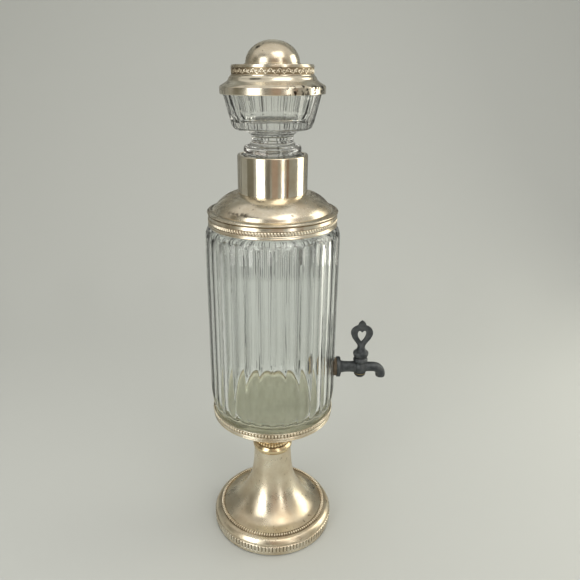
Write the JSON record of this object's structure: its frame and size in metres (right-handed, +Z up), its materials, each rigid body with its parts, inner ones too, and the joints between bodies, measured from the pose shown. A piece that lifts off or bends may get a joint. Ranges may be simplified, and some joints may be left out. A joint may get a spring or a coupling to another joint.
{
  "type": "pedestal liquid dispenser bottle",
  "caption": "Tall fluted glass dispenser bottle on a metal trumpet foot, with a lift-out faceted glass stopper and a small plug-cock spigot for pouring liquid detergent.",
  "frame": {"origin": "centre of the foot's underside, where it stands on a table", "axes": "+Z up along the bottle's axis; +X along the spigot, away from the bottle; the reference view looks along +Y"},
  "size_m": [0.166, 0.119, 0.457],
  "materials": {
    "silver_plate": "polished silver plate worn to a warm champagne tone",
    "felt": "felt",
    "tinned_plate": "dull tinned sheet",
    "brass": "turned, slightly dull",
    "plaster": "matt cream bedding",
    "bottle_glass": "clear, faint grey-green",
    "stopper_glass": "clear pressed glass",
    "clear_sleeve": "clear flexible sleeve",
    "pewter": "dark grey cast metal",
    "fibre_washer": "brown fibre"
  },
  "bodies": {
    "bottle": {"felt_pad": "felt", "base_plate": "tinned_plate", "foot_shell": "silver_plate", "foot_rim_band": "silver_plate", "foot_step_beads": "silver_plate", "foot_tie_nut": "brass", "foot_tie_washer": "brass", "stem_collar": "silver_plate", "stem_beads": "silver_plate", "cup_shell": "silver_plate", "cup_bead_band": "silver_plate", "cup_tie_screw": "brass", "plaster_bed": "plaster", "glass_bottle": "bottle_glass", "glass_shoulder": "bottle_glass", "glass_neck": "bottle_glass", "shoulder_cap": "silver_plate", "shoulder_band": "silver_plate", "neck_collar": "silver_plate", "spigot_body": "pewter", "spigot_gasket_outer": "fibre_washer", "spigot_gasket_inner": "fibre_washer", "spigot_washer": "brass", "spigot_nut": "brass"},
    "stopper_sleeve": {"stopper_seal": "clear_sleeve"},
    "stopper": {"stopper_glass": "stopper_glass", "cement_ring": "plaster", "stopper_cap": "silver_plate", "stopper_frieze_band": "silver_plate", "stopper_dome": "silver_plate"},
    "key": {"spigot_key": "pewter", "key_washer": "brass", "key_cap_nut": "pewter"}
  },
  "joints": [
    {"name": "stopper_lift", "type": "slide", "parent": "bottle", "child": "stopper_sleeve", "axis": [0, 0, 1], "range_m": [0, 0.045]},
    {"name": "stopper_twist", "type": "hinge", "parent": "stopper_sleeve", "child": "stopper", "pos_m": [0, 0, 0.36], "axis": [0, 0, 1], "continuous": true},
    {"name": "key_turn", "type": "hinge", "parent": "bottle", "child": "key", "pos_m": [0.0825, 0, 0.19], "axis": [0, 0, 1], "continuous": true}
  ]
}
